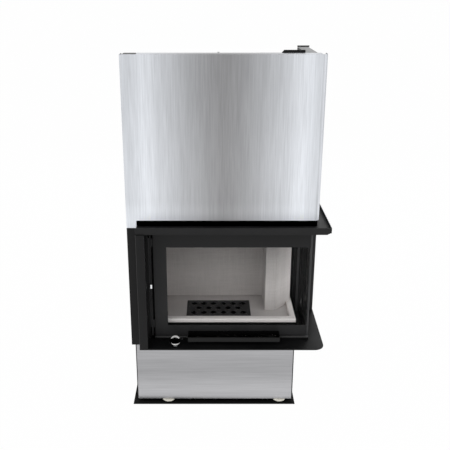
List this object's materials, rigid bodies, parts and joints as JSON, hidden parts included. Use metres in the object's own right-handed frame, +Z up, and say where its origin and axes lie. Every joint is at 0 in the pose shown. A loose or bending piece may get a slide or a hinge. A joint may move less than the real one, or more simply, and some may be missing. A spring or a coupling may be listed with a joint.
{
  "type": "corner fireplace insert",
  "caption": "Steel corner fireplace insert with a lift-up L-shaped glass door, brushed casing, black portal frame, pale lined hearth with grate, plinth and air slider.",
  "frame": {"origin": "on the floor, at the middle of the insert's width and depth", "axes": "+Z up, the casing and door face -Y, the glazed side faces +X"},
  "size_m": [0.682, 0.41, 1.2655],
  "materials": {
    "brushed_stainless": "brushed",
    "black_paint": "satin heat-resistant paint",
    "zinc_steel": "zinc plated",
    "chrome": "polished",
    "cast_iron": "cast",
    "vermiculite": "fine grained, matte",
    "guide_polymer": "graphite filled",
    "ceramic_glass": "clear"
  },
  "bodies": {
    "root": {"casing": "brushed_stainless", "plinth_front_panel": "brushed_stainless", "base_plate": "black_paint", "plinth_left_panel": "black_paint", "plinth_right_panel": "black_paint", "plinth_rear_panel": "black_paint", "portal_shelf": "black_paint", "portal_left_column": "black_paint", "portal_rear_column": "black_paint", "portal_beam": "black_paint", "door_sill": "black_paint", "body_floor": "black_paint", "ash_well": "black_paint", "body_left_plate": "black_paint", "body_rear_plate": "black_paint", "body_right_plate": "black_paint", "hood_front_plate": "black_paint", "hood_top_plate": "black_paint", "flue_collar": "black_paint", "left_cover": "black_paint", "guide_rail_left": "black_paint", "guide_rail_right": "black_paint", "top_rail_left": "black_paint", "top_cross_bar": "black_paint", "foot_front_left": "zinc_steel", "foot_front_right": "zinc_steel", "foot_rear_left": "zinc_steel", "foot_rear_right": "zinc_steel", "plinth_floor": "zinc_steel", "air_spigot": "zinc_steel", "rear_jacket": "zinc_steel", "top_rail_right": "zinc_steel", "axle_left": "zinc_steel", "axle_right": "zinc_steel", "cable_left": "zinc_steel", "cable_right": "zinc_steel", "hearth_floor": "vermiculite", "left_brick": "vermiculite", "back_brick": "vermiculite", "pillar_brick": "vermiculite", "front_rim": "vermiculite", "right_rim": "vermiculite", "baffle_plate": "vermiculite"},
    "door": {"door_frame": "black_paint", "door_glass_front": "ceramic_glass", "door_glass_side": "ceramic_glass", "door_handle": "black_paint", "carriage_left": "black_paint", "carriage_right": "black_paint", "guide_shoe_left": "guide_polymer", "guide_shoe_right": "guide_polymer"},
    "latch": {"door_latch": "chrome"},
    "air_control": {"air_slider": "zinc_steel", "air_knob": "chrome"},
    "grate_tray": {"grate": "cast_iron"},
    "ash_drawer": {"ash_pan": "zinc_steel"},
    "weight_left": {"counterweight_left": "cast_iron"},
    "weight_right": {"counterweight_right": "cast_iron"},
    "wheel_left": {"pulley_left": "zinc_steel"},
    "wheel_right": {"pulley_right": "zinc_steel"}
  },
  "joints": [
    {"name": "door_lift", "type": "slide", "parent": "root", "child": "door", "axis": [0, 0, 1], "range_m": [0, 0.38], "deforming": ["cable_left", "cable_right"]},
    {"name": "weight_left_drop", "type": "slide", "parent": "root", "child": "weight_left", "axis": [0, 0, -1], "range_m": [0, 0.38]},
    {"name": "weight_right_drop", "type": "slide", "parent": "root", "child": "weight_right", "axis": [0, 0, -1], "range_m": [0, 0.38]},
    {"name": "pulley_left_spin", "type": "hinge", "parent": "root", "child": "wheel_left", "pos_m": [-0.3095, -0.082, 1.2], "axis": [-1, 0, 0], "range_deg": [0, 623]},
    {"name": "pulley_right_spin", "type": "hinge", "parent": "root", "child": "wheel_right", "pos_m": [0.2625, 0.142, 1.2], "axis": [-1, 0, 0], "range_deg": [0, 727]},
    {"name": "latch_turn", "type": "hinge", "parent": "door", "child": "latch", "pos_m": [-0.263, -0.1338, 0.4696], "axis": [0, 1, 0], "range_deg": [0, 90]},
    {"name": "air_control_slide", "type": "slide", "parent": "root", "child": "air_control", "axis": [1, 0, 0], "range_m": [-0.04, 0.018]},
    {"name": "grate_lift", "type": "slide", "parent": "root", "child": "grate_tray", "axis": [0, 0, 1], "range_m": [0, 0.1]},
    {"name": "ash_pan_lift", "type": "slide", "parent": "root", "child": "ash_drawer", "axis": [0, 0, 1], "range_m": [0, 0.1]}
  ],
  "couplings": [
    {"joint": "weight_left_drop", "follows": "door_lift", "ratio": 1},
    {"joint": "weight_right_drop", "follows": "door_lift", "ratio": 1},
    {"joint": "pulley_left_spin", "follows": "door_lift", "rad_per_m": 28.571},
    {"joint": "pulley_right_spin", "follows": "door_lift", "rad_per_m": 33.333},
    {"joint": "ash_pan_lift", "follows": "grate_lift", "ratio": 1}
  ]
}
